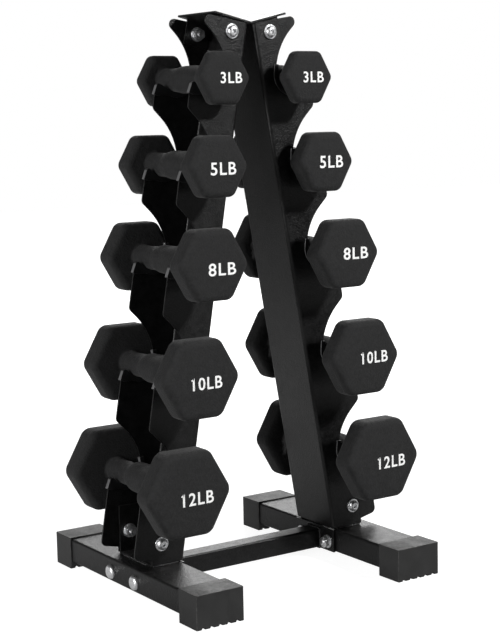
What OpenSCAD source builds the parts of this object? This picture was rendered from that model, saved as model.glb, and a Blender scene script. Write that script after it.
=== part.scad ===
// An A-frame dumbbell rack that holds five pairs of hexagonal dumbbells.
// Millimetres. +X runs along the cross bar, +Y along the base tubes and the
// handles, +Z is up. The origin is on the floor under the middle of the rack,
// and the front, which the dumbbells show their numbers to, faces -Y.
// Every left-hand piece is the mirror image of the right-hand one.

/* [Base] */
// Distance from the middle of the rack to the middle of a base tube
base_x = 146; // [144:1:148]
// Width of a base tube
tube_w = 60; // [58:1:62]
// Height of a base tube
tube_h = 30; // [28:1:31]
// Wall of the base tubes and the cross bar
tube_wall = 1.5; // [1:0.1:2.5]
// Depth of the rack over its end caps
base_depth = 342; // [300:2:380]
// Length of an end cap
cap_length = 39; // [30:1:50]
// How far an end cap stands proud of its tube
cap_proud = 2; // [1.5:0.5:3]
// Thickness of an end cap's sole, under the tube
cap_sole = 8.5; // [6:0.5:9]
// Side of the square cross bar
bar_side = 25; // [20:1:26]

/* [Uprights] */
// Lean of an upright from the vertical, in degrees
lean = 9.77; // [9.6:0.01:9.9]
// Width of an upright over its two flanges
channel_w = 82; // [76:1:88]
// Thickness of the sheet
sheet = 2; // [1.5:0.1:2.5]
// Height of the top of the web
web_top_z = 680.4; // [678:0.1:683]
// Gap between the two webs at the top
web_gap = 7.2; // [6:0.1:9]
// Reach of the hooks from the web's outer face, level
hook_reach = 71; // [70:0.5:73]
// Radius of the cradle cut in the sheet for each handle
cradle_r = 21; // [20.5:0.5:22]
// Thickness of the saddle liner over the sheet's edge
liner_t = 2; // [1.5:0.1:2.5]

/* [Dumbbells] */
// Diameter of the coated handles where they rest in the cradles
handle_d = 29; // [27:0.5:30]
// Thickness of the neoprene coat
coat_t = 1.2; // [0.8:0.1:2]
// Direction in which a dumbbell lifts out, above the level, in degrees
lift_angle = 40; // [38:1:41]
// Height of the 3 lb handle
z_3lb = 615.5; // [614:0.5:617]
// Height of the 5 lb handle
z_5lb = 513.5; // [512:0.5:515]
// Height of the 8 lb handle
z_8lb = 401; // [399:0.5:403]
// Height of the 10 lb handle
z_10lb = 270.5; // [269:0.5:272]
// Height of the 12 lb handle
z_12lb = 138.5; // [137:0.5:140]
// Width across the flats of a 3 lb head
af_3lb = 62; // [58:0.5:66]
// Width across the flats of a 5 lb head
af_5lb = 72; // [68:0.5:76]
// Width across the flats of an 8 lb head
af_8lb = 83.8; // [80:0.1:86]
// Width across the flats of a 10 lb head
af_10lb = 93; // [90:0.5:94]
// Width across the flats of a 12 lb head
af_12lb = 101.5; // [98:0.5:103]

/* [Hidden] */
$fn = 48;

left = -1;
right = 1;
front = -1;
back = 1;
steel = [0.12, 0.12, 0.13];
plastic = [0.17, 0.17, 0.17];
liner_grey = [0.36, 0.36, 0.37];
zinc = [0.80, 0.81, 0.83];
iron = [0.30, 0.29, 0.28];
neoprene = [0.08, 0.08, 0.085];

// Base
tube_bottom = cap_sole;
tube_top = cap_sole + tube_h;
tube_corner = 3;
cap_corner = 1.5;
cap_end_wall = 4;
bar_corner = 2.5;
bar_lift = 1;
tread_pitch = 11.6;
tread_r = 2.4;
plate_t = 3;
plate_face_x = base_x - tube_w / 2 - plate_t;
bar_z = tube_bottom + bar_lift + bar_side / 2;

// Uprights: the web's outer face is a straight line in XZ
web_top_x = web_gap / 2;
web_foot_x = web_top_x + web_top_z * tan(lean);
function web_x(z) = web_foot_x - z * tan(lean);
bend_r = 4;
foot_edge_x = 158.5;
foot_edge_z = 40.5;
last_hook_z = 52;
last_hook_slope = 12.3;
corner_r = 7;
horn_r = 6.7;
horn_reach = 54;
underside = -45;
lip_r = 1.5;
lip_drop = 7;
lip_inset = 3.9;
lip_slope = 22;
throat_steps = 8;
cradle_steps = 14;
lip_steps = 5;
corner_steps = 6;
wide_corner_steps = 8;

// Saddle liners
liner_w = sheet + 4;
liner_grip = 4;
liner_start = 12;
liner_root = 295;

// Brackets
bracket_t = 2.5;
lug_y = channel_w / 2 - sheet;
top_bolt = [27.6, 670.8];
foot_bolt = [144.5, 66.1];
top_plate_tilt = 13;
top_plate_reach = 48.8;
top_plate_gap = 0.3;
top_plate_over = 1;
top_lug_reach = 37.5;
top_lug_drop = 30;
foot_lug_x = [119, 157.5];
foot_lug_top = 98.5;

// Fasteners, all M8
bolt_d = 8;
hole_d = 8.6;
thread_gap = 0.1;
washer_d = 17.5;
washer_t = 1.6;
nut_af = 13;
nut_t = 6.5;
button_d = 14;
button_h = 4.4;
button_rounding = 0.45;
socket_af = 5;
socket_depth = 2.6;
dome_d = 18;
dome_h = 4.6;
dome_rounding = 0.6;
head_bite = 0.5;
bar_bolt_y = 28.8;
bar_bolt_z = 21;
tail = 2.5;

// Tiers, top to bottom: handle height, level distance from the web to the handle,
// and how far under the handle the hook's outer corner lies
rest_gap = 0.3;
handle_r = handle_d / 2;
liner_r = cradle_r - liner_t;
cradle_rise = liner_r - handle_r - rest_gap;
tiers = [
    [z_3lb, 42, 33.5],
    [z_5lb, 47, 44.2],
    [z_8lb, 47, 61],
    [z_10lb, 47, 65.5],
    [z_12lb, 47, z_12lb - last_hook_z]
];
last = len(tiers) - 1;
function handle_at(i) = [web_x(tiers[i][0]) + tiers[i][1], tiers[i][0]];
function cradle_at(i) = handle_at(i) + [0, cradle_rise];

// Dumbbells, top to bottom: across the flats, thickness of a head, length of
// handle between the heads, how far forward of the middle the left-hand and the
// right-hand one have been put down, and how far the handle swells in the middle
bells = [
    [af_3lb, 20, 114, -5, 5, 2.2],
    [af_5lb, 28, 118, 2, -2, 3],
    [af_8lb, 31, 135, 6, 3, 3],
    [af_10lb, 31.5, 138, 7, 5, 3.6],
    [af_12lb, 34, 142, 6, 5, 4.4]
];
// The swell, as distance from the middle of the handle and share of the full swell
swell_steps = [[29, 0], [25, 0.5], [20, 0.82], [11, 1]];
neck = 2;
corner_share = 0.075;
rim_share = 0.05;

function unit(a) = [cos(a), sin(a)];
function arc(c, r, from, to, steps) = [for (i = [0:steps]) c + r * unit(from + (to - from) * i / steps)];

// Flange outline in XZ, for the right-hand upright
function horn_centre() = [web_top_x, web_top_z] + horn_reach * unit(lean) - horn_r * unit(lean + 90);
function lip_at(i) =
    let (z = tiers[i][0] - lip_drop) [web_x(z) + hook_reach - lip_inset, z];
// Direction of the tangent between the cradle and the lip
function ramp(i) =
    let (to_lip = lip_at(i) - cradle_at(i))
    atan2(to_lip.y, to_lip.x) - acos((cradle_r + lip_r) / norm(to_lip));
// Where the slope outside the lip meets the hook's outer edge
function shoulder_at(i) =
    let (a = unit(lip_slope), b = unit(lean), edge = lip_inset * cos(lean), det = a.x * b.y - a.y * b.x)
    lip_at(i) + [lip_r * b.y - a.y * edge, a.x * edge - b.x * lip_r] / det;
// Hook's outer corner, before it is rounded
function corner_at(i) =
    let (z = tiers[i][0] - tiers[i][2]) [web_x(z) + hook_reach, z];
function fillet_at(k, r, a, b) = k - r / cos((a - b) / 2) * unit((a + b) / 2);
function throat_r(i, k) =
    ((cradle_at(i) - [cradle_r, 0] - k) * unit(underside)) / (1 - cos(underside));
// Concave run from the point k down to the cradle of tier i, then out to its lip;
// grow offsets the line away from the sheet
function throat_run(i, k, from, grow = 0) =
    let (r = throat_r(i, k), g = cradle_at(i) + [r - cradle_r, 0])
    arc(g, r - grow, from, 180, throat_steps);
function cradle_run(i, grow = 0) = arc(cradle_at(i), cradle_r - grow, 180, 360 + ramp(i), cradle_steps);
function lip_run(i, grow = 0) = arc(lip_at(i), lip_r + grow, 180 + ramp(i), lip_slope, lip_steps);
function corner_run(i) =
    i < last
        ? arc(fillet_at(corner_at(i), corner_r, lean, underside), corner_r, lean, underside,
              corner_steps)
        : arc(fillet_at(corner_at(i), corner_r, lean, last_hook_slope - 90), corner_r, lean,
              last_hook_slope - 90, wide_corner_steps);
// The point that the throat above tier i starts from
function above(i) =
    i == 0 ? horn_centre() + horn_r * unit(underside) : corner_at(i - 1);
last_hook_root = corner_at(last) + (foot_edge_x - corner_at(last).x) * [1, tan(last_hook_slope)];
flange_outline = concat(
    [[web_top_x, web_top_z]],
    arc(horn_centre(), horn_r, lean + 90, underside, wide_corner_steps),
    [for (i = [0:last]) each concat(
        throat_run(i, above(i), 180 + underside),
        cradle_run(i), lip_run(i), [shoulder_at(i)], corner_run(i))],
    [last_hook_root, [foot_edge_x, foot_edge_z], [web_x(foot_edge_z), foot_edge_z]]
);

// Helpers

// Mirrors its children for the left-hand side
module on_side(side) mirror([side == left ? 1 : 0, 0, 0]) children();

// Extrudes an XZ outline along Y, from y0 to y1
module along_y(y0, y1) translate([0, y1, 0]) rotate([90, 0, 0]) linear_extrude(y1 - y0) children();

// A rectangle with round corners, centred on the origin
module round_rect(w, h, r) {
    square([w - 2 * r, h], center = true);
    square([w, h - 2 * r], center = true);
    for (x = [-1, 1], y = [-1, 1])
        translate([x * (w / 2 - r), y * (h / 2 - r)])
            circle(r);
}

module tube_section(w, h, r)
    difference() {
        round_rect(w, h, r);
        round_rect(w - 2 * tube_wall, h - 2 * tube_wall, r - tube_wall);
    }

// A cylinder along Y whose axis passes through an XZ point
module rod_y(xz, d, y0, y1)
    translate([xz.x, y1, xz.y]) rotate([90, 0, 0]) cylinder(d = d, h = y1 - y0);

// Base

module base_tube(side)
    color(steel) on_side(side)
        difference() {
            translate([base_x, 0, tube_bottom + tube_h / 2])
                along_y(cap_end_wall - base_depth / 2, base_depth / 2 - cap_end_wall)
                    tube_section(tube_w, tube_h, tube_corner);
            for (y = [-1, 1])
                translate([base_x - tube_w, y * bar_bolt_y, bar_bolt_z])
                    rotate([0, 90, 0]) cylinder(d = hole_d, h = 2 * tube_w);
        }

module end_cap(side, end)
    color(plastic) on_side(side) mirror([0, end == front ? 1 : 0, 0])
        translate([base_x, base_depth / 2 - cap_length, 0])
            difference() {
                translate([0, cap_length / 2, 0])
                    linear_extrude(tube_top + cap_proud)
                        round_rect(tube_w + 2 * cap_proud, cap_length, cap_corner);
                translate([0, 0, tube_bottom + tube_h / 2])
                    along_y(-1, cap_length - cap_end_wall)
                        round_rect(tube_w, tube_h, tube_corner);
                for (i = [-2:2])
                    translate([i * tread_pitch, cap_length + 1, 0])
                        rotate([90, 0, 0]) cylinder(r = tread_r, h = cap_length + 2);
            }

module cross_bar()
    color(steel)
        translate([-plate_face_x, 0, bar_z])
            rotate([0, 90, 0])
                linear_extrude(2 * plate_face_x)
                    tube_section(bar_side, bar_side, bar_corner);

module cross_bar_plate(side)
    color(steel) on_side(side)
        difference() {
            translate([plate_face_x, -channel_w / 2, tube_bottom])
                cube([plate_t, channel_w, tube_h]);
            for (y = [-1, 1])
                translate([plate_face_x - 1, y * bar_bolt_y, bar_bolt_z])
                    rotate([0, 90, 0]) cylinder(d = hole_d, h = plate_t + 2);
        }

// A bent saddle, welded on the base tube inside the foot of the upright
module foot_bracket(side)
    color(steel) on_side(side)
        difference() {
            translate([foot_lug_x[0], -lug_y, tube_top])
                cube([foot_lug_x[1] - foot_lug_x[0], 2 * lug_y, foot_lug_top - tube_top]);
            translate([foot_lug_x[0] - 1, bracket_t - lug_y, tube_top + bracket_t])
                cube([foot_lug_x[1] - foot_lug_x[0] + 2, 2 * (lug_y - bracket_t), foot_lug_top]);
            rod_y(foot_bolt, hole_d, -channel_w, channel_w);
        }

// Uprights

// Channel section in the plane across the upright: the web lies along Y at x = 0
module channel_section() {
    depth = 2 * hook_reach;
    difference() {
        translate([depth / 2, 0]) round_rect(depth, channel_w, bend_r);
        translate([depth / 2 + sheet, 0])
            round_rect(depth, channel_w - 2 * sheet, bend_r - sheet);
    }
}

module upright(side)
    color(steel) on_side(side)
        difference() {
            intersection() {
                translate([web_foot_x, 0, 0]) rotate([0, -lean, 0])
                    linear_extrude(1.1 * web_top_z) channel_section();
                along_y(-channel_w, channel_w) polygon(flange_outline);
            }
            rod_y(top_bolt, hole_d, -channel_w, channel_w);
            rod_y(foot_bolt, hole_d, -channel_w, channel_w);
        }

// A moulded trim that grips the sheet's edge around one cradle
module saddle_liner(i) {
    r = throat_r(i, above(i));
    from = 180 - asin(liner_start / (r - liner_t));
    surface = concat(
        throat_run(i, above(i), from, liner_t), cradle_run(i, liner_t), lip_run(i, liner_t),
        [shoulder_at(i) + liner_t * unit(lip_slope)]);
    hidden = concat(
        [shoulder_at(i) - liner_grip * unit(lip_slope)],
        arc(cradle_at(i), cradle_r + liner_grip, liner_root, 180, cradle_steps),
        [throat_run(i, above(i), from, -liner_grip)[0]]);
    difference() {
        along_y(-liner_w / 2, liner_w / 2) polygon(concat(surface, hidden));
        along_y(-sheet / 2, sheet / 2) polygon(flange_outline);
    }
}

module saddle_liners(side, end)
    color(liner_grey) on_side(side)
        translate([0, end * (channel_w - sheet) / 2, 0])
            for (i = [0:last])
                saddle_liner(i);

// Two plates in a shallow V over the uprights, with a lug inside each flange
module top_bracket()
    color(steel)
        for (side = [left, right])
            on_side(side)
                difference() {
                    translate([web_top_x, 0, web_top_z + top_plate_gap])
                        rotate([0, -top_plate_tilt, 0]) {
                            translate([-web_gap, -channel_w / 2 - top_plate_over, 0])
                                cube([web_gap + top_plate_reach, channel_w + 2 * top_plate_over,
                                      bracket_t]);
                            for (y = [-lug_y, lug_y - bracket_t])
                                translate([bend_r, y, -top_lug_drop])
                                    cube([top_lug_reach - bend_r, bracket_t, top_lug_drop + 1]);
                        }
                    translate([-web_top_z, -channel_w, 0])
                        cube([web_top_z, 2 * channel_w, 2 * web_top_z]);
                    rod_y(top_bolt, hole_d, -channel_w, channel_w);
                }

// Fasteners

// A button-head bolt along -Y, its head's seat at y = 0 and its head at y < 0
module button_bolt(length) {
    difference() {
        intersection() {
            rod_y([0, 0], button_d, -button_h, 0);
            translate([0, button_d * button_rounding, 0])
                sphere(button_d * button_rounding + button_h);
        }
        translate([0, socket_depth - button_h, 0]) rotate([90, 0, 0])
            cylinder(d = socket_af / cos(30), h = button_h, $fn = 6);
    }
    rod_y([0, 0], bolt_d, -head_bite, length);
}

module washer(y0) {
    difference() {
        rod_y([0, 0], washer_d, y0, y0 + washer_t);
        rod_y([0, 0], hole_d, y0 - 1, y0 + washer_t + 1);
    }
}

module nut(y0) {
    difference() {
        translate([0, y0 + nut_t, 0]) rotate([90, 0, 0])
            cylinder(d = nut_af / cos(30), h = nut_t, $fn = 6);
        rod_y([0, 0], bolt_d + thread_gap, y0 - 1, y0 + nut_t + 1);
    }
}

// The four places of the bolts that go in through the flanges
module at_flanges(xz)
    for (side = [left, right], end = [front, back])
        on_side(side) mirror([0, end == back ? 1 : 0, 0])
            translate([xz.x, -channel_w / 2, xz.y]) children();

flange_grip = sheet + bracket_t;
flange_bolt_length = flange_grip + 2 * washer_t + nut_t + tail;
module flange_bolts(xz)
    color(zinc) at_flanges(xz)
        translate([0, -washer_t, 0]) button_bolt(flange_bolt_length);
module flange_washers(xz)
    color(zinc) at_flanges(xz)
        for (y = [-washer_t, flange_grip])
            washer(y);
module flange_nuts(xz) color(zinc) at_flanges(xz) nut(flange_grip + washer_t);

// The four places of the bolts that go in through the base tubes, towards the middle
module at_base()
    for (side = [left, right], y = [-1, 1])
        on_side(side) translate([base_x + tube_w / 2, y * bar_bolt_y, bar_bolt_z])
            rotate([0, 0, 90]) children();

base_grip = tube_w + plate_t;
module cross_bar_bolts()
    color(zinc) at_base() {
        intersection() {
            rod_y([0, 0], dome_d, -dome_h, 0);
            translate([0, dome_d * dome_rounding, 0]) sphere(dome_d * dome_rounding + dome_h);
        }
        rod_y([0, 0], bolt_d, -head_bite, base_grip + washer_t + nut_t + tail);
    }
module cross_bar_washers() color(zinc) at_base() washer(base_grip);
module cross_bar_nuts() color(zinc) at_base() nut(base_grip + washer_t);

// Dumbbells

// A hexagon with round corners and a pair of flats parallel to Y
module round_hexagon(flats, r) {
    inner = flats / 2 - r;
    circle(r = inner / cos(30), $fn = 6);
    for (a = [0:60:300])
        rotate(a) {
            rotate(30) translate([0, -inner * tan(30)]) square([flats / 2, 2 * inner * tan(30)]);
            translate([inner / cos(30), 0]) circle(r);
        }
}

// A head from z = 0 to t: a hexagonal prism with round corners and round rims
module head(flats, t)
    intersection() {
        linear_extrude(t) round_hexagon(flats, corner_share * flats);
        head_slab(30, flats, t);
        head_slab(90, flats, t);
        head_slab(150, flats, t);
    }

// A long slab with round edges, whose two sides are the flats that face a and a + 180
module head_slab(a, flats, t)
    rotate([0, 0, a]) along_y(-flats, flats)
        translate([0, t / 2]) round_rect(flats, t, rim_share * flats);

// Handle and two heads, drawn in by skin, along Z about the origin
module bell_solid(i, skin) {
    r = handle_r - skin;
    face = bells[i][2] / 2 + skin;
    root = face + neck / 2;
    side_line = concat(
        [[0, root], [r + neck, root], [r, face - neck]],
        [for (s = swell_steps) [r + s[1] * bells[i][5], s[0]]]);
    flipped = [for (k = [len(side_line) - 1:-1:0]) [side_line[k].x, -side_line[k].y]];
    rotate_extrude() polygon(concat(side_line, flipped));
    for (end = [0, 1])
        mirror([0, 0, end]) translate([0, 0, face])
            head(bells[i][0] - 2 * skin, bells[i][1] - 2 * skin);
}

module dumbbell_at(i, side)
    on_side(side)
        translate([handle_at(i).x, -bells[i][side == left ? 3 : 4], handle_at(i).y])
            rotate([90, 0, 0]) children();

module dumbbell_core(i, side) color(iron) dumbbell_at(i, side) bell_solid(i, coat_t);

module dumbbell_coat(i, side)
    color(neoprene) dumbbell_at(i, side)
        difference() {
            bell_solid(i, 0);
            bell_solid(i, coat_t);
        }

base_tube(left);  // base_tube_left
base_tube(right);  // base_tube_right
end_cap(left, front);  // end_cap_left_front
end_cap(left, back);  // end_cap_left_back
end_cap(right, front);  // end_cap_right_front
end_cap(right, back);  // end_cap_right_back
foot_bracket(left);  // foot_bracket_left
foot_bracket(right);  // foot_bracket_right
upright(left);  // upright_left
upright(right);  // upright_right
top_bracket();
cross_bar();
cross_bar_plate(left);  // cross_bar_plate_left
cross_bar_plate(right);  // cross_bar_plate_right
saddle_liners(left, front);  // saddle_liners_left_front
saddle_liners(left, back);  // saddle_liners_left_back
saddle_liners(right, front);  // saddle_liners_right_front
saddle_liners(right, back);  // saddle_liners_right_back
flange_bolts(top_bolt);  // top_bolts
flange_washers(top_bolt);  // top_washers
flange_nuts(top_bolt);  // top_nuts
flange_bolts(foot_bolt);  // foot_bolts
flange_washers(foot_bolt);  // foot_washers
flange_nuts(foot_bolt);  // foot_nuts
cross_bar_bolts();
cross_bar_washers();
cross_bar_nuts();
dumbbell_core(0, left);  // dumbbell_3lb_left_core
dumbbell_coat(0, left);  // dumbbell_3lb_left_coat
dumbbell_core(0, right);  // dumbbell_3lb_right_core
dumbbell_coat(0, right);  // dumbbell_3lb_right_coat
dumbbell_core(1, left);  // dumbbell_5lb_left_core
dumbbell_coat(1, left);  // dumbbell_5lb_left_coat
dumbbell_core(1, right);  // dumbbell_5lb_right_core
dumbbell_coat(1, right);  // dumbbell_5lb_right_coat
dumbbell_core(2, left);  // dumbbell_8lb_left_core
dumbbell_coat(2, left);  // dumbbell_8lb_left_coat
dumbbell_core(2, right);  // dumbbell_8lb_right_core
dumbbell_coat(2, right);  // dumbbell_8lb_right_coat
dumbbell_core(3, left);  // dumbbell_10lb_left_core
dumbbell_coat(3, left);  // dumbbell_10lb_left_coat
dumbbell_core(3, right);  // dumbbell_10lb_right_core
dumbbell_coat(3, right);  // dumbbell_10lb_right_coat
dumbbell_core(4, left);  // dumbbell_12lb_left_core
dumbbell_coat(4, left);  // dumbbell_12lb_left_coat
dumbbell_core(4, right);  // dumbbell_12lb_right_core
dumbbell_coat(4, right);  // dumbbell_12lb_right_coat
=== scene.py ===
import math

import bmesh
import bpy
from mathutils import Matrix, Vector


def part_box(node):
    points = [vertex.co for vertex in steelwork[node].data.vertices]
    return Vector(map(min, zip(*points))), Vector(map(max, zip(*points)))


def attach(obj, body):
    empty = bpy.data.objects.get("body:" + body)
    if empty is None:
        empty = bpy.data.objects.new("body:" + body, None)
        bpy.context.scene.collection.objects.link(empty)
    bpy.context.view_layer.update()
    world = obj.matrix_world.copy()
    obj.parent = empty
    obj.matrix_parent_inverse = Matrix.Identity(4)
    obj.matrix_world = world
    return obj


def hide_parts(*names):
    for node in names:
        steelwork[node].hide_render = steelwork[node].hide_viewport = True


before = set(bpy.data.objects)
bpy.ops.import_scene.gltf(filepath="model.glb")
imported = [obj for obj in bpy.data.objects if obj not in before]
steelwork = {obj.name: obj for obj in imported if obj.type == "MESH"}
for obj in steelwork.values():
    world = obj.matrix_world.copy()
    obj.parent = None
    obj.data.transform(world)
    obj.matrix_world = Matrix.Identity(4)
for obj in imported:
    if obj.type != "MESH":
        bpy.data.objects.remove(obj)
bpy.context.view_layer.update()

bpy.ops.object.select_all(action="DESELECT")

# ---------------------------------------------------------------------------
# Base tubes
# Two lengths of 60 x 30 mm rectangular steel tube that lie fore and aft.
# They are cut square, drilled for the cross bar's bolts, and powder coated a
# satin black with the fine, slightly pebbled grain that the powder bakes to.
# ---------------------------------------------------------------------------


def new_group(name, inputs, outputs):
    """A shader node group with named sockets; returns it with its input and output nodes."""
    group = bpy.data.node_groups.new(name, "ShaderNodeTree")
    for label, kind, value in inputs:
        socket = group.interface.new_socket(label, in_out="INPUT", socket_type=kind)
        if value is not None:
            socket.default_value = value
    for label, kind in outputs:
        group.interface.new_socket(label, in_out="OUTPUT", socket_type=kind)
    return group, group.nodes.new("NodeGroupInput"), group.nodes.new("NodeGroupOutput")


def wire(tree, source, target):
    tree.links.new(source, target)


def steps(tree, start, stop, value):
    """A smooth ramp of value from 0 at start to 1 at stop."""
    node = tree.nodes.new("ShaderNodeMapRange")
    node.interpolation_type = "SMOOTHSTEP"
    node.inputs["From Min"].default_value = start
    node.inputs["From Max"].default_value = stop
    wire(tree, value, node.inputs["Value"])
    return node.outputs["Result"]


def reckon(tree, operation, first, second):
    """One arithmetic node; first and second are sockets or numbers."""
    node = tree.nodes.new("ShaderNodeMath")
    node.operation = operation
    for slot_number, value in enumerate((first, second)):
        if isinstance(value, (int, float)):
            node.inputs[slot_number].default_value = value
        else:
            wire(tree, value, node.inputs[slot_number])
    return node.outputs["Value"]


def skin_grain():
    """The grain of a baked, dipped or moulded skin: fine pebbles, and a slow mottle."""
    group, ins, outs = new_group(
        "skin_grain",
        [
            ("Place", "NodeSocketVector", None),
            ("Pebbles", "NodeSocketFloat", 900.0),
            ("Mottle", "NodeSocketFloat", 40.0),
        ],
        [("Height", "NodeSocketFloat"), ("Tone", "NodeSocketFloat")],
    )
    pebbles = group.nodes.new("ShaderNodeTexNoise")
    pebbles.inputs["Detail"].default_value = 3.0
    pebbles.inputs["Roughness"].default_value = 0.62
    wire(group, ins.outputs["Place"], pebbles.inputs["Vector"])
    wire(group, ins.outputs["Pebbles"], pebbles.inputs["Scale"])
    mottle = group.nodes.new("ShaderNodeTexNoise")
    mottle.inputs["Detail"].default_value = 4.0
    wire(group, ins.outputs["Place"], mottle.inputs["Vector"])
    wire(group, ins.outputs["Mottle"], mottle.inputs["Scale"])
    wire(group, pebbles.outputs["Fac"], outs.inputs["Height"])
    fine = reckon(group, "MULTIPLY", steps(group, 0.36, 0.66, pebbles.outputs["Fac"]), 0.55)
    slow = reckon(group, "MULTIPLY", steps(group, 0.32, 0.68, mottle.outputs["Fac"]), 0.45)
    wire(group, reckon(group, "ADD", fine, slow), outs.inputs["Tone"])
    return group


def rubbed_edges():
    """Handling rubs the outer corners first: a broken mask that follows the edges."""
    group, ins, outs = new_group(
        "rubbed_edges",
        [
            ("Place", "NodeSocketVector", None),
            ("Patches", "NodeSocketFloat", 60.0),
            ("Reach", "NodeSocketFloat", 0.56),
        ],
        [("Mask", "NodeSocketFloat")],
    )
    surface = group.nodes.new("ShaderNodeNewGeometry")
    patches = group.nodes.new("ShaderNodeTexNoise")
    patches.inputs["Detail"].default_value = 5.0
    patches.inputs["Roughness"].default_value = 0.7
    wire(group, ins.outputs["Place"], patches.inputs["Vector"])
    wire(group, ins.outputs["Patches"], patches.inputs["Scale"])
    sharp = reckon(group, "SUBTRACT", surface.outputs["Pointiness"], ins.outputs["Reach"])
    edges = steps(group, 0.0, 0.12, sharp)
    broken = steps(group, 0.42, 0.62, patches.outputs["Fac"])
    wire(group, reckon(group, "MULTIPLY", edges, broken), outs.inputs["Mask"])
    return group


def settled_dust():
    """House dust lies thinly on whatever faces up."""
    group, ins, outs = new_group(
        "settled_dust",
        [("Place", "NodeSocketVector", None), ("Amount", "NodeSocketFloat", 0.3)],
        [("Mask", "NodeSocketFloat")],
    )
    surface = group.nodes.new("ShaderNodeNewGeometry")
    upward = group.nodes.new("ShaderNodeSeparateXYZ")
    wire(group, surface.outputs["Normal"], upward.inputs["Vector"])
    specks = group.nodes.new("ShaderNodeTexNoise")
    specks.inputs["Scale"].default_value = 220.0
    specks.inputs["Detail"].default_value = 6.0
    specks.inputs["Roughness"].default_value = 0.75
    wire(group, ins.outputs["Place"], specks.inputs["Vector"])
    level = steps(group, 0.55, 0.98, upward.outputs["Z"])
    speckled = steps(group, 0.40, 0.72, specks.outputs["Fac"])
    lying = reckon(group, "MULTIPLY", level, speckled)
    wire(group, reckon(group, "MULTIPLY", lying, ins.outputs["Amount"]), outs.inputs["Mask"])
    return group


grain, rubbed, dust = skin_grain(), rubbed_edges(), settled_dust()


def place_group(material, group, place, **settings):
    """Puts a group in a material with its own values, fed by the material's coordinates."""
    node = material.node_tree.nodes.new("ShaderNodeGroup")
    node.node_tree = group
    wire(material.node_tree, place, node.inputs["Place"])
    for label, value in settings.items():
        node.inputs[label].default_value = value
    return node.outputs


def tint(material, share, below, above):
    """A colour that goes from below to above as share goes from 0 to 1."""
    node = material.node_tree.nodes.new("ShaderNodeMix")
    node.data_type = "RGBA"
    wire(material.node_tree, share, node.inputs["Factor"])
    for socket, value in ((node.inputs["A"], below), (node.inputs["B"], above)):
        if isinstance(value, tuple):
            socket.default_value = (*value, 1.0)
        else:
            wire(material.node_tree, value, socket)
    return node.outputs["Result"]


def between(material, share, low, high):
    """A number that goes from low to high as share goes from 0 to 1."""
    node = material.node_tree.nodes.new("ShaderNodeMapRange")
    wire(material.node_tree, share, node.inputs["Value"])
    node.inputs["To Min"].default_value = low
    node.inputs["To Max"].default_value = high
    return node.outputs["Result"]


def new_material(name):
    """A material with its own Principled shader; returns it, the shader and the object coordinates."""
    material = bpy.data.materials.new(name)
    material.use_nodes = True
    shader = material.node_tree.nodes["Principled BSDF"]
    place = material.node_tree.nodes.new("ShaderNodeTexCoord").outputs["Object"]
    return material, shader, place


def raise_grain(material, shader, height, depth, strength):
    """Gives the shader a bump of that depth in metres."""
    bump = material.node_tree.nodes.new("ShaderNodeBump")
    bump.inputs["Strength"].default_value = strength
    bump.inputs["Distance"].default_value = depth
    wire(material.node_tree, height, bump.inputs["Height"])
    wire(material.node_tree, bump.outputs["Normal"], shader.inputs["Normal"])


def new_finish(name, scales, tones, gloss, bump, rubs=None, dusts=None):
    """A grained skin, with rubbed edges and dust over it; returns the material and its shader.

    scales are the pebbles' and the mottle's, tones and gloss run from the low of the skin to
    its high, bump is a depth and a strength, and rubs and dusts end with their own colours.
    """
    material, shader, place = new_material(name)
    skin = place_group(material, grain, place, Pebbles=scales[0], Mottle=scales[1])
    colour = tint(material, skin["Tone"], *tones)
    if rubs:
        patches, reach, bare = rubs
        wear = place_group(material, rubbed, place, Patches=patches, Reach=reach)
        colour = tint(material, wear["Mask"], colour, bare)
    if dusts:
        amount, grey = dusts
        film = place_group(material, dust, place, Amount=amount)
        colour = tint(material, film["Mask"], colour, grey)
    wire(material.node_tree, colour, shader.inputs["Base Color"])
    wire(material.node_tree, between(material, skin["Tone"], *gloss), shader.inputs["Roughness"])
    raise_grain(material, shader, skin["Height"], *bump)
    return material, shader


powder_coat, coat_shader = new_finish(
    "powder_coat_black",
    scales=(520.0, 120.0),
    tones=((0.0006, 0.0006, 0.0006), (0.0060, 0.0060, 0.0062)),
    gloss=(0.30, 0.46),
    bump=(0.0006, 0.8),
    rubs=(70.0, 0.55, (0.035, 0.035, 0.036)),
    dusts=(0.35, (0.075, 0.074, 0.072)),
)
coat_shader.inputs["Specular IOR Level"].default_value = 0.34


def finish_node(node, material, corner):
    """Keeps a CAD node, takes its sharp edges off by corner metres, and gives it its finish."""
    piece = steelwork[node]
    piece.data.materials.clear()
    piece.data.materials.append(material)
    piece.data.polygons.foreach_set("use_smooth", [True] * len(piece.data.polygons))
    piece.data.update()
    weld = piece.modifiers.new("closed_mesh", "WELD")
    weld.merge_threshold = 0.00001
    plain = piece.modifiers.new("whole_faces", "DECIMATE")
    plain.decimate_type = "DISSOLVE"
    plain.angle_limit = math.radians(0.4)
    edge = piece.modifiers.new("soft_edges", "BEVEL")
    edge.width = corner
    edge.segments = 2
    edge.limit_method = "ANGLE"
    edge.angle_limit = math.radians(30)
    edge.harden_normals = True
    edge.use_clamp_overlap = True
    even = piece.modifiers.new("even_shading", "WEIGHTED_NORMAL")
    even.keep_sharp = True
    return piece


for side in ("left", "right"):
    finish_node(f"base_tube_{side}", powder_coat, corner=0.0003)

# ---------------------------------------------------------------------------
# End caps
# Four moulded black plastic caps push over the ends of the base tubes and
# carry the rack on their soles. Each has five tread grooves along its sole
# and a mat spark-eroded skin from the mould.
# ---------------------------------------------------------------------------

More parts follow.
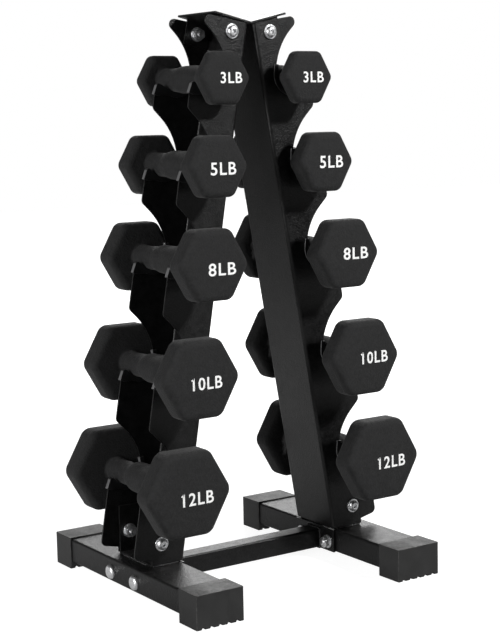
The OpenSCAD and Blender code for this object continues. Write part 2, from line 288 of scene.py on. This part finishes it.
cap_plastic, cap_shader = new_finish(
    "moulded_plastic_black",
    scales=(1500.0, 60.0),
    tones=((0.010, 0.010, 0.010), (0.019, 0.019, 0.0188)),
    gloss=(0.50, 0.66),
    bump=(0.00012, 0.6),
    rubs=(110.0, 0.55, (0.06, 0.06, 0.058)),
    dusts=(0.5, (0.10, 0.098, 0.094)),
)
cap_shader.inputs["Specular IOR Level"].default_value = 0.45

for side in ("left", "right"):
    for end in ("front", "back"):
        finish_node(f"end_cap_{side}_{end}", cap_plastic, corner=0.0006)

# ---------------------------------------------------------------------------
# Cross bar and its end plates
# A 25 mm square tube with a flat plate welded on each end. The plates close
# on the inner sides of the base tubes. A bead of weld, coated over with the
# rest, runs round the bar where it meets each plate.
# ---------------------------------------------------------------------------

finish_node("cross_bar", powder_coat, corner=0.0003)
for side in ("left", "right"):
    finish_node(f"cross_bar_plate_{side}", powder_coat, corner=0.0007)

weld_coat, _ = new_finish(
    "powder_coat_on_weld",
    scales=(700.0, 160.0),
    tones=((0.003, 0.003, 0.0032), (0.011, 0.011, 0.0115)),
    gloss=(0.32, 0.50),
    bump=(0.0003, 0.5),
    rubs=(240.0, 0.53, (0.05, 0.05, 0.051)),
)


def only(piece):
    """Makes one piece the only one that is selected, and the active one."""
    bpy.ops.object.select_all(action="DESELECT")
    piece.select_set(True)
    bpy.context.view_layer.objects.active = piece


def settle(piece):
    """Puts a piece's place, turn and scale in its mesh."""
    only(piece)
    bpy.ops.object.transform_apply(location=True, rotation=True, scale=True)


def apply_modifiers(piece):
    only(piece)
    for modifier in list(piece.modifiers):
        bpy.ops.object.modifier_apply(modifier=modifier.name)


def join(name, pieces):
    """One piece of several, with its origin at the frame's."""
    bpy.ops.object.select_all(action="DESELECT")
    for piece in pieces:
        piece.select_set(True)
    bpy.context.view_layer.objects.active = pieces[0]
    bpy.ops.object.join()
    pieces[0].name = name
    pieces[0].data.name = name
    return pieces[0]


def dress(piece, material, body):
    """The last step for a new piece: its finish and what it rides on."""
    piece.data.materials.clear()
    piece.data.materials.append(material)
    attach(piece, body)
    return piece


def weld_bead(start, end, size, seed):
    """A run of overlapping ripples from start to end, as a wire-fed torch leaves it."""
    ripple_pitch, ripple_shape, ripple_lean, unevenness = 0.62, (0.75, 1.0, 0.82), 24, 0.10
    start, end = Vector(start), Vector(end)
    run = end - start
    ripples = max(3, round(run.length / (ripple_pitch * size)))
    bpy.ops.mesh.primitive_uv_sphere_add(segments=14, ring_count=8, radius=size, location=(0, 0, 0))
    bead = bpy.context.object
    bead.scale = ripple_shape
    bead.rotation_euler = (0.0, math.radians(ripple_lean), 0.0)
    settle(bead)
    repeat = bead.modifiers.new("ripples", "ARRAY")
    repeat.count = ripples
    repeat.use_relative_offset = False
    repeat.use_constant_offset = True
    repeat.constant_offset_displace = (run.length / ripples, 0, 0)
    apply_modifiers(bead)
    bpy.ops.object.mode_set(mode="EDIT")
    bpy.ops.mesh.select_all(action="SELECT")
    bpy.ops.transform.vertex_random(offset=unevenness * size, uniform=1.0, seed=seed)
    bpy.ops.object.mode_set(mode="OBJECT")
    bead.rotation_euler = run.to_track_quat("X", "Z").to_euler()
    bead.location = start + run / ripples / 2
    settle(bead)
    bpy.ops.object.shade_smooth()
    return bead


bead_sink = 0.0006
bar_bead = 0.0021
bar_low, bar_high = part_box("cross_bar")
bar_beads = []
for side in (-1, 1):
    x = side * (bar_high.x - bead_sink)
    corners = [
        (x, bar_low.y, bar_high.z),
        (x, bar_high.y, bar_high.z),
        (x, bar_high.y, bar_low.z),
        (x, bar_low.y, bar_low.z),
    ]
    for number in range(4):
        a, b = corners[number], corners[(number + 1) % 4]
        bar_beads.append(weld_bead(a, b, bar_bead, seed=11 + number + side))
bar_welds = join("cross_bar_welds", bar_beads)
dress(bar_welds, weld_coat, "rack")

# ---------------------------------------------------------------------------
# Foot brackets
# A saddle of 2.5 mm sheet, bent up at both ends, stands on each base tube
# inside the foot of the upright. It is welded along its outer edges, and the
# beads show under the flanges and inside the channel.
# ---------------------------------------------------------------------------

long_bead, short_bead = 0.0017, 0.0016
bend_room, corner_room = 0.012, 0.002
foot_beads = []
for side in ("left", "right"):
    finish_node(f"foot_bracket_{side}", powder_coat, corner=0.0004)
    low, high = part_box(f"foot_bracket_{side}")
    floor = low.z + bead_sink
    for number, x in enumerate((low.x, high.x)):
        start, end = (x, low.y + bend_room, floor), (x, high.y - bend_room, floor)
        foot_beads.append(weld_bead(start, end, long_bead, seed=31 + number))
    for number, y in enumerate((low.y, high.y)):
        start, end = (low.x + corner_room, y, floor), (high.x - corner_room, y, floor)
        foot_beads.append(weld_bead(start, end, short_bead, seed=41 + number))
foot_welds = join("foot_bracket_welds", foot_beads)
dress(foot_welds, weld_coat, "rack")

# ---------------------------------------------------------------------------
# Uprights
# Each is one sheet of 2 mm steel, laser cut with five hooks down each edge
# and folded into a channel. The web leans in towards the other upright and
# the two notched flanges reach outwards. Coated all over, edges too.
# ---------------------------------------------------------------------------

for side in ("left", "right"):
    finish_node(f"upright_{side}", powder_coat, corner=0.0003)

# ---------------------------------------------------------------------------
# Top bracket
# Two bent plates in a shallow V that tie the tops of the uprights together,
# with a lug down inside each flange for the bolts.
# ---------------------------------------------------------------------------

finish_node("top_bracket", powder_coat, corner=0.0004)

# ---------------------------------------------------------------------------
# Saddle liners
# Twenty moulded rubber trims press over the cut edges, two at each cradle, so
# that the handles rest on rubber and not on the sheet. They are nearly black,
# with a pale painted highlight on the faces that look outwards.
# ---------------------------------------------------------------------------

liner_rubber, liner_shader = new_finish(
    "liner_rubber_grey",
    scales=(1200.0, 90.0),
    tones=((0.0035, 0.0035, 0.0037), (0.0090, 0.0090, 0.0094)),
    gloss=(0.28, 0.42),
    bump=(0.0001, 0.5),
    rubs=(160.0, 0.55, (0.11, 0.11, 0.114)),
    dusts=(0.4, (0.16, 0.155, 0.15)),
)
# The faces that look outwards along X are painted a pale grey: a painted highlight for the lamp's glint on
# the liner tips.
liner_tree = liner_rubber.node_tree
facing = liner_tree.nodes.new("ShaderNodeSeparateXYZ")
liner_surface = liner_tree.nodes.new("ShaderNodeNewGeometry")
wire(liner_tree, liner_surface.outputs["Normal"], facing.inputs["Vector"])
outwards = reckon(liner_tree, "ABSOLUTE", facing.outputs["X"], 0.0)
painted_tip_highlight = steps(liner_tree, 0.70, 0.93, outwards)
# The liner's own colour, before the painted highlight goes over it.
colour_under_highlight = liner_shader.inputs["Base Color"].links[0].from_socket
wire(
    liner_tree,
    tint(liner_rubber, painted_tip_highlight, colour_under_highlight, (0.11, 0.11, 0.112)),
    liner_shader.inputs["Base Color"],
)

for side in ("left", "right"):
    for end in ("front", "back"):
        finish_node(f"saddle_liners_{side}_{end}", liner_rubber, corner=0.0005)

# ---------------------------------------------------------------------------
# Bolts, washers and nuts
# M8 button-head bolts go in through the flanges, and round-head ones through
# the base tubes, with washers and hexagon nuts. All are steel with a bright
# zinc plate; the cut threads show past the nuts.
# ---------------------------------------------------------------------------

zinc, zinc_shader = new_finish(
    "zinc_plate_bright",
    scales=(1400.0, 350.0),
    tones=((0.80, 0.81, 0.83), (0.97, 0.97, 0.97)),
    gloss=(0.27, 0.46),
    bump=(0.00006, 0.5),
    dusts=(0.25, (0.42, 0.41, 0.39)),
)
zinc_shader.inputs["Metallic"].default_value = 1.0

for group in ("top_washers", "foot_washers", "cross_bar_washers"):
    finish_node(group, zinc, corner=0.00025)

shank = 0.004
thread_pitch = 0.00125
thread_depth = 0.00062
thread_length = 0.014
lap = 0.0002


def pick(piece, kind, rule):
    """In edit mode, selects the verts, edges or faces of a piece that the rule is true for."""
    bpy.ops.mesh.select_mode(type={"verts": "VERT", "edges": "EDGE", "faces": "FACE"}[kind])
    bpy.ops.mesh.select_all(action="DESELECT")
    mesh = bmesh.from_edit_mesh(piece.data)
    for part in getattr(mesh, kind):
        if rule(part):
            part.select_set(True)
    mesh.select_flush_mode()
    bmesh.update_edit_mesh(piece.data)


def rod(radius, near, far, vertices=48):
    """A cylinder along Y from near to far."""
    bpy.ops.mesh.primitive_cylinder_add(
        vertices=vertices,
        radius=radius,
        depth=far - near,
        location=(0, (near + far) / 2, 0),
        rotation=(math.pi / 2, 0, 0),
    )
    piece = bpy.context.object
    settle(piece)
    return piece


def cut(piece, tool, operation):
    """Joins, cuts or trims a piece with a tool, which is used up."""
    boolean = piece.modifiers.new("cut", "BOOLEAN")
    boolean.operation = operation
    boolean.solver = "EXACT"
    boolean.object = tool
    apply_modifiers(piece)
    bpy.data.objects.remove(tool)


def bolt(name, head_radius, head_height, length, socket):
    """A bolt along +Y, with its seat at y = 0 and its head at y < 0."""
    head_rounding, socket_floor = head_height * 0.86, -head_height * 0.42
    point_chamfer, tooth_size, tooth_root = 0.0006, 0.0007, 0.0005
    head = rod(head_radius, -head_height, 0.0)
    bpy.ops.object.mode_set(mode="EDIT")
    pick(head, "edges", lambda e: all(v.co.y < -head_height * 0.99 for v in e.verts))
    bpy.ops.mesh.bevel(
        offset_type="OFFSET", offset=head_rounding, segments=7, profile=0.5, affect="EDGES"
    )
    bpy.ops.object.mode_set(mode="OBJECT")
    if socket:
        tool = rod(socket / 2 / math.cos(math.pi / 6), -head_height - 0.001, socket_floor, vertices=6)
        cut(head, tool, "DIFFERENCE")
    plain = rod(shank, -2 * lap, length - thread_length)
    core = rod(shank - thread_depth, length - thread_length - lap, length)
    bpy.ops.object.mode_set(mode="EDIT")
    pick(core, "edges", lambda e: all(v.co.y > length - 0.00001 for v in e.verts))
    bpy.ops.mesh.bevel(offset_type="OFFSET", offset=point_chamfer, segments=2, affect="EDGES")
    bpy.ops.object.mode_set(mode="OBJECT")
    # The thread is one three-sided tooth, wound round the core.
    bpy.ops.mesh.primitive_circle_add(vertices=3, radius=tooth_size, fill_type="NGON")
    tooth = bpy.context.object
    tooth.rotation_euler = (math.pi / 2, math.pi / 2, 0)
    tooth.location = (shank - tooth_root, 0, 0)
    settle(tooth)
    wind = tooth.modifiers.new("thread", "SCREW")
    wind.axis = "Z"
    wind.angle = 2 * math.pi
    wind.screw_offset = thread_pitch
    wind.iterations = 10
    wind.steps = 20
    wind.render_steps = 20
    wind.use_normal_calculate = True
    apply_modifiers(tooth)
    tooth.rotation_euler = (-math.pi / 2, 0, 0)
    tooth.location = (0, length - thread_length + lap, 0)
    settle(tooth)
    for piece in (head, plain, core, tooth):
        only(piece)
        bpy.ops.object.shade_smooth_by_angle(angle=math.radians(35))
    return join(name, [head, plain, core, tooth])


def copy_of(piece, turn, place):
    """A copy with its own mesh, turned about Z by that many degrees and moved into place."""
    twin = piece.copy()
    twin.data = piece.data.copy()
    bpy.context.scene.collection.objects.link(twin)
    twin.rotation_euler = (0, 0, math.radians(turn))
    twin.location = place
    settle(twin)
    return twin


def set_of_four(name, model, nodes, places):
    """Copies a fastener to its places as one piece, in place of its CAD node."""
    whole = join(name, [copy_of(model, turn, place) for turn, place in places])
    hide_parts(*nodes)
    dress(whole, zinc, "rack")


def flange_places(x, y, z):
    """The turns and places of four fasteners that go in through the flanges."""
    return [(turn, (side * x, end * y, z)) for side in (-1, 1) for turn, end in ((0, -1), (180, 1))]


def tube_places(x, y, z):
    """The turns and places of four fasteners that lie across the base tubes."""
    return [(turn, (side * x, end * y, z)) for end in (-1, 1) for turn, side in ((90, 1), (-90, -1))]


button_radius, button_height, socket_width = 0.007, 0.0044, 0.005
flange_bolt_length = 0.0167
flange_seat = -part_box("top_washers")[0].y
flange_bolt = bolt("flange_bolt", button_radius, button_height, flange_bolt_length, socket_width)
for group in ("top", "foot"):
    low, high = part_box(f"{group}_bolts")
    places = flange_places(high.x - button_radius, flange_seat, (low.z + high.z) / 2)
    set_of_four(f"{group}_bolts_threaded", flange_bolt, [f"{group}_bolts"], places)
bpy.data.objects.remove(flange_bolt)

dome_radius, dome_height = 0.009, 0.0046
base_bolt_length = 0.0736
low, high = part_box("cross_bar_bolts")
base_bolt_y = high.y - dome_radius
base_bolt = bolt("base_bolt", dome_radius, dome_height, base_bolt_length, None)
places = tube_places(high.x - dome_height, base_bolt_y, (low.z + high.z) / 2)
set_of_four("cross_bar_bolts_threaded", base_bolt, ["cross_bar_bolts"], places)
bpy.data.objects.remove(base_bolt)


def nut(name, across, thick):
    """A hexagon nut along Y from y = 0, with both faces chamfered and a bore."""
    face_share, clearance = 0.475, 0.0001
    corner = across / 2 / math.cos(math.pi / 6)
    body = rod(corner, 0.0, thick, vertices=6)
    tool = rod(corner * 1.01, 0.0, thick, vertices=64)
    bpy.ops.object.mode_set(mode="EDIT")
    pick(tool, "edges", lambda e: abs(e.verts[0].co.y - e.verts[1].co.y) < 0.0001)
    bpy.ops.mesh.bevel(offset_type="OFFSET", offset=corner - across * face_share, segments=3, affect="EDGES")
    bpy.ops.object.mode_set(mode="OBJECT")
    cut(body, tool, "INTERSECT")
    cut(body, rod(shank + clearance, -0.001, thick + 0.001), "DIFFERENCE")
    only(body)
    bpy.ops.object.shade_smooth_by_angle(angle=math.radians(28))
    body.name = name
    return body


nut_width, nut_thick = 0.013, 0.0065
plain_nut = nut("nut", nut_width, nut_thick)
for group in ("top", "foot"):
    low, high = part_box(f"{group}_bolts")
    outer = -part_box(f"{group}_nuts")[0].y
    places = flange_places(high.x - button_radius, outer, (low.z + high.z) / 2)
    set_of_four(f"{group}_nuts_chamfered", plain_nut, [f"{group}_nuts"], places)
low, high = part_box("cross_bar_nuts")
places = tube_places(high.x, base_bolt_y, (low.z + high.z) / 2)
set_of_four("cross_bar_nuts_chamfered", plain_nut, ["cross_bar_nuts"], places)
bpy.data.objects.remove(plain_nut)

# ---------------------------------------------------------------------------
# Dumbbells
# Each is a casting, two hexagonal heads on a handle that swells for the palm,
# dipped in neoprene that fills the inner corners and rounds every rim. The dip
# dries mat, with a fine grain, and scuffs along the corners of the heads.
# ---------------------------------------------------------------------------

cast_iron, iron_shader = new_finish(
    "cast_iron_core",
    scales=(500.0, 90.0),
    tones=((0.045, 0.042, 0.040), (0.10, 0.092, 0.085)),
    gloss=(0.55, 0.8),
    bump=(0.0004, 0.7),
)
iron_shader.inputs["Metallic"].default_value = 0.8

neoprene, neoprene_shader = new_finish(
    "neoprene_dip_black",
    scales=(430.0, 170.0),
    tones=((0.0040, 0.0040, 0.0042), (0.0155, 0.0155, 0.0158)),
    gloss=(0.74, 0.90),
    bump=(0.0011, 0.8),
    rubs=(85.0, 0.53, (0.040, 0.040, 0.040)),
    dusts=(0.35, (0.07, 0.069, 0.067)),
)
neoprene_shader.inputs["Specular IOR Level"].default_value = 0.30
neoprene_shader.inputs["Sheen Weight"].default_value = 0.06
neoprene_shader.inputs["Sheen Roughness"].default_value = 0.5

handle_radius = 0.0145
fillet = 0.003
ridge_width, ridge_rise, ridge_height = 0.0012, 0.0005, 0.00035
into_head, hollow_steps = 0.0015, 5
corner_share = 0.135
rim_least, rim_share = 0.0042, 0.044


def head(across, thick, near):
    """A hexagonal head along Y from near, flats level, its corners and rims rounded."""
    bpy.ops.mesh.primitive_cylinder_add(
        vertices=6,
        radius=across / 2 / math.cos(math.pi / 6),
        depth=thick,
        location=(0, near + thick / 2, 0),
        rotation=(math.pi / 2, math.pi / 6, 0),
    )
    piece = bpy.context.object
    settle(piece)
    bpy.ops.object.mode_set(mode="EDIT")
    pick(piece, "edges", lambda e: abs(e.verts[0].co.y - e.verts[1].co.y) > thick / 2)
    bpy.ops.mesh.bevel(
        offset_type="OFFSET",
        offset=corner_share * across * math.tan(math.pi / 6),
        segments=8,
        profile=0.5,
        affect="EDGES",
    )
    pick(piece, "edges", lambda e: abs(e.verts[0].co.y - e.verts[1].co.y) < thick / 2)
    rim = rim_least + rim_share * across
    bpy.ops.mesh.bevel(offset_type="OFFSET", offset=rim, segments=7, profile=0.5, affect="EDGES")
    bpy.ops.object.mode_set(mode="OBJECT")
    return piece


def handle(length, radius, swell):
    """A handle along Y, swelled for the palm, that flares into a head at each end."""
    palm, palm_end, palm_steps, fullness = 0.0060, 0.0295, 12, 1.7
    straight = length / 2 - fillet - ridge_width
    piece = rod(radius + swell, -palm, palm, vertices=56)
    profile = []
    for number in range(1, palm_steps + 1):
        share = number / palm_steps
        fall = share**fullness
        fall = fall * fall * (3 - 2 * fall)
        profile.append((palm + (palm_end - palm) * share, radius + swell * (1 - fall)))
    profile.append((straight, radius))
    ridge = radius + ridge_height
    # A faint ridge where the dip ran down, then a hollow curve on to the head.
    profile += [(straight + ridge_rise, ridge), (straight + ridge_width, ridge)]
    for number in range(1, hollow_steps + 1):
        a = math.radians(90 / hollow_steps * number)
        y = straight + ridge_width + fillet * math.sin(a)
        profile.append((y, ridge + fillet * (1 - math.cos(a))))
    profile.append((length / 2 + into_head, ridge + fillet))
    bpy.ops.object.mode_set(mode="EDIT")
    for end in (-1, 1):
        pick(
            piece,
            "faces",
            lambda f: f.normal.y * end > 0.9 and f.calc_center_median().y * end > palm * 0.9,
        )
        y, wide = palm, radius + swell
        for next_y, next_wide in profile:
            bpy.ops.mesh.extrude_region_move(
                TRANSFORM_OT_translate={"value": (0, end * (next_y - y), 0)}
            )
            grow = next_wide / wide
            bpy.ops.transform.resize(value=(grow, 1, grow), center_override=(0, end * next_y, 0))
            y, wide = next_y, next_wide
    bpy.ops.object.mode_set(mode="OBJECT")
    return piece


def whole_dumbbell(name, across, thick, grip, radius, swell):
    """Handle and two heads, as one piece about the frame's origin."""
    parts = [
        handle(grip, radius, swell),
        head(across, thick, grip / 2),
        head(across, thick, -grip / 2 - thick),
    ]
    model = join(name, parts)
    only(model)
    bpy.ops.object.shade_smooth_by_angle(angle=math.radians(40))
    return model


dip = 0.0012
# How thick each dumbbell's heads are over the dip, and how far its handle swells.
castings = {
    "3lb": (0.020, 0.0022),
    "5lb": (0.028, 0.0030),
    "8lb": (0.031, 0.0030),
    "10lb": (0.0315, 0.0036),
    "12lb": (0.034, 0.0044),
}
for weight, (thick, swell) in castings.items():
    low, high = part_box(f"dumbbell_{weight}_left_coat")
    across, grip = high.z - low.z, high.y - low.y - 2 * thick
    skin_model = whole_dumbbell("dipped", across, thick, grip, handle_radius, swell)
    iron_model = whole_dumbbell(
        "casting", across - 2 * dip, thick - 2 * dip, grip + 2 * dip, handle_radius - dip, swell
    )
    for side in ("left", "right"):
        body = f"dumbbell_{weight}_{side}"
        low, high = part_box(f"{body}_coat")
        for model, layer, name, material, slot_name in (
            (skin_model, "coat", "dipped", neoprene, "neoprene"),
            (iron_model, "core", "casting", cast_iron, "cast_iron"),
        ):
            twin = copy_of(model, 0, (low + high) / 2)
            twin.name = twin.data.name = f"{body}_{name}"
            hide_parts(f"{body}_{layer}")
            dress(twin, material, body)
    bpy.data.objects.remove(skin_model)
    bpy.data.objects.remove(iron_model)

# ---------------------------------------------------------------------------
# Weight numbers
# The weight is screen printed in white on the front of each front head, in a
# bold letter. The ink lies a tenth of a millimetre proud and has a faint grain
# of its own.
# ---------------------------------------------------------------------------

ink, _ = new_finish(
    "white_screen_print",
    scales=(1500.0, 220.0),
    tones=((0.80, 0.80, 0.79), (0.93, 0.93, 0.92)),
    gloss=(0.48, 0.66),
    bump=(0.0001, 0.4),
)

letter_height = {"3lb": 0.0130, "5lb": 0.0148, "8lb": 0.0148, "10lb": 0.0148, "12lb": 0.0152}
letter_width = {"3lb": 0.0300, "5lb": 0.0352, "8lb": 0.0378, "10lb": 0.0424, "12lb": 0.0443}
letter_boldness, letter_spacing = 0.016, 1.14
text_depth, ink_height = 0.01, 0.0001
flag_size, flag_slope, flag_drop = (0.21, 0.085, 0.02), 33, 0.075
# The screens sit a little to the right of the middle of the heads, and not all alike.
print_shift = {
    "3lb_left": (0.007, 0.0),
    "5lb_left": (0.0045, -0.0025),
    "8lb_left": (0.009, -0.0045),
    "10lb_left": (0.0045, -0.004),
    "12lb_left": (0.0085, -0.0045),
    "3lb_right": (0.005, 0.0),
    "5lb_right": (0.0055, 0.0),
    "8lb_right": (0.009, 0.0005),
    "10lb_right": (0.0105, 0.0),
    "12lb_right": (0.010, -0.003),
}
for printed, (across_x, up_z) in print_shift.items():
    weight, side = printed.split("_")
    body = f"dumbbell_{printed}"
    low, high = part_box(f"{body}_coat")
    bpy.ops.object.text_add(location=(0, 0, 0))
    letters = bpy.context.object
    letters.data.body = weight.upper()
    letters.data.align_x = "CENTER"
    letters.data.align_y = "CENTER"
    letters.data.offset = letter_boldness
    letters.data.space_character = letter_spacing
    letters.data.extrude = text_depth
    letters.data.resolution_u = 6
    only(letters)
    bpy.ops.object.convert(target="MESH")
    letters = bpy.context.object
    if weight.startswith("1"):
        # The figure 1 is drawn as a plain bar, so it gets its flag.
        left_edge = min(v.co.x for v in letters.data.vertices)
        top_edge = max(v.co.y for v in letters.data.vertices if v.co.x < left_edge + 0.01)
        bpy.ops.mesh.primitive_cube_add(size=1, location=(left_edge, top_edge - flag_drop, 0))
        flag = bpy.context.object
        flag.scale = flag_size
        flag.rotation_euler = (0, 0, math.radians(flag_slope))
        settle(flag)
        bpy.ops.object.mode_set(mode="EDIT")
        bpy.ops.mesh.select_all(action="SELECT")
        bpy.ops.mesh.bisect(plane_co=(0, top_edge, 0), plane_no=(0, 1, 0), use_fill=True, clear_outer=True)
        bpy.ops.object.mode_set(mode="OBJECT")
        letters = join("letters", [letters, flag])
    ys = [v.co.y for v in letters.data.vertices]
    xs = [v.co.x for v in letters.data.vertices]
    tall, wide = max(ys) - min(ys), max(xs) - min(xs)
    middle = Vector(((max(xs) + min(xs)) / 2, (max(ys) + min(ys)) / 2, 0))
    letters.data.transform(Matrix.Translation(-middle))
    letters.scale = (letter_width[weight] / wide, letter_height[weight] / tall, ink_height / text_depth)
    letters.rotation_euler = (math.pi / 2, 0, 0)
    letters.location = ((low.x + high.x) / 2 + across_x, low.y, (low.z + high.z) / 2 + up_z)
    settle(letters)
    letters.name = letters.data.name = f"number_{printed}"
    dress(letters, ink, body)

# ---------------------------------------------------------------------------
# Studio
# A floor of white paper, a small key lamp high at the front right, a softer
# one on the left, and two behind on the right, a broad one low and one high.
# ---------------------------------------------------------------------------

paper, paper_shader, paper_place = new_material("white_paper")
paper_tree = paper.node_tree
paper_skin = place_group(paper, grain, paper_place, Pebbles=300.0, Mottle=6.0)
paper_colour = tint(paper, paper_skin["Tone"], (0.30, 0.30, 0.30), (0.33, 0.33, 0.33))
wire(paper_tree, paper_colour, paper_shader.inputs["Base Color"])
paper_shader.inputs["Roughness"].default_value = 0.9
paper_shader.inputs["Emission Color"].default_value = (1, 1, 1, 1)
# The paper glows, white to the eye and brighter away from the rack. The light that it
# throws comes only from behind the rack.
glow_near, glow_far, glow_behind = 0.92, 0.3, 0.50
on_paper = paper_tree.nodes.new("ShaderNodeSeparateXYZ")
wire(paper_tree, paper_place, on_paper.inputs["Vector"])
distance = paper_tree.nodes.new("ShaderNodeVectorMath")
distance.operation = "LENGTH"
wire(paper_tree, paper_place, distance.inputs[0])
near_rack = steps(paper_tree, 2.2, 0.5, distance.outputs["Value"])
past_rack = steps(paper_tree, -0.4, 0.5, on_paper.outputs["Y"])
away = steps(paper_tree, 0.5, 1.6, distance.outputs["Value"])
behind = reckon(paper_tree, "MULTIPLY", reckon(paper_tree, "MULTIPLY", past_rack, glow_behind), near_rack)
outside = reckon(paper_tree, "ADD", glow_near, reckon(paper_tree, "MULTIPLY", away, glow_far))
seen = paper_tree.nodes.new("ShaderNodeLightPath").outputs["Is Camera Ray"]
unseen = reckon(paper_tree, "SUBTRACT", 1.0, seen)
shown = reckon(paper_tree, "MULTIPLY", seen, outside)
thrown = reckon(paper_tree, "MULTIPLY", unseen, behind)
wire(paper_tree, reckon(paper_tree, "ADD", shown, thrown), paper_shader.inputs["Emission Strength"])
bpy.ops.mesh.primitive_plane_add(size=14, location=(0, 0, 0))
sweep = bpy.context.object
sweep.name = "floor"
sweep.data.materials.append(paper)


def soft_light(name, place, aim, size, power):
    """A round lamp that faces its aim; size in metres, power in watts."""
    lamp = bpy.data.lights.new(name, "AREA")
    lamp.shape = "DISK"
    lamp.size = size
    lamp.energy = power
    holder = bpy.data.objects.new(name, lamp)
    bpy.context.scene.collection.objects.link(holder)
    holder.location = place
    holder.rotation_euler = (Vector(aim) - Vector(place)).to_track_quat("-Z", "Y").to_euler()


soft_light("key", (2.0, -3.3, 2.85), (0, 0, 0.35), size=0.62, power=222)
soft_light("left", (-3.1, -0.7, 1.0), (0, 0, 0.35), size=1.2, power=85)
soft_light("back", (1.7, 2.9, 1.3), (0, 0, 0.2), size=2.2, power=17)
soft_light("far_side", (2.4, 3.0, 2.6), (0, 0, 0.35), size=1.6, power=60)

# Seen directly the world is white, while the black finishes reflect only a dim room
# with a paler band low down behind the rack.
sky = bpy.data.worlds.new("studio_white")
sky.use_nodes = True
bpy.context.scene.world = sky
room = sky.node_tree
looking = room.nodes.new("ShaderNodeTexCoord").outputs["Generated"]
split = room.nodes.new("ShaderNodeSeparateXYZ")
wire(room, looking, split.inputs["Vector"])
dim, pale_band = 0.036, 0.25
low_down = steps(room, 0.55, 0.05, split.outputs["Z"])
past = steps(room, -0.15, 0.75, split.outputs["Y"])
band = reckon(room, "MULTIPLY", reckon(room, "MULTIPLY", low_down, past), pale_band)
glow = reckon(room, "ADD", dim, band)
looked_at = room.nodes.new("ShaderNodeLightPath").outputs["Is Camera Ray"]
wire(room, reckon(room, "MAXIMUM", looked_at, glow), room.nodes["Background"].inputs["Strength"])
room.nodes["Background"].inputs["Color"].default_value = (1, 1, 1, 1)
bpy.context.scene.view_settings.view_transform = "Standard"

# The camera stands at the front left, below the top of the rack, and looks slightly down.
standpoint = (-1.0474, -1.5789, 0.5738)
focal_length, sensor_width = 86.05, 36.0
bearing, height_angle, lean_angle = math.radians(-34.0), math.radians(7.7), math.radians(-1.2)
ahead = Vector(
    (
        -math.sin(bearing) * math.cos(height_angle),
        math.cos(bearing) * math.cos(height_angle),
        -math.sin(height_angle),
    )
)
level = Vector((math.cos(bearing), math.sin(bearing), 0))
upward = level.cross(ahead)
right = level * math.cos(lean_angle) + upward * math.sin(lean_angle)
up = -level * math.sin(lean_angle) + upward * math.cos(lean_angle)
lens = bpy.data.cameras.new("camera")
lens.lens = focal_length
lens.sensor_width = sensor_width
camera = bpy.data.objects.new("camera", lens)
bpy.context.scene.collection.objects.link(camera)
turn = Matrix((right, up, -ahead)).transposed().to_4x4()
camera.matrix_world = Matrix.Translation(standpoint) @ turn
bpy.context.scene.camera = camera
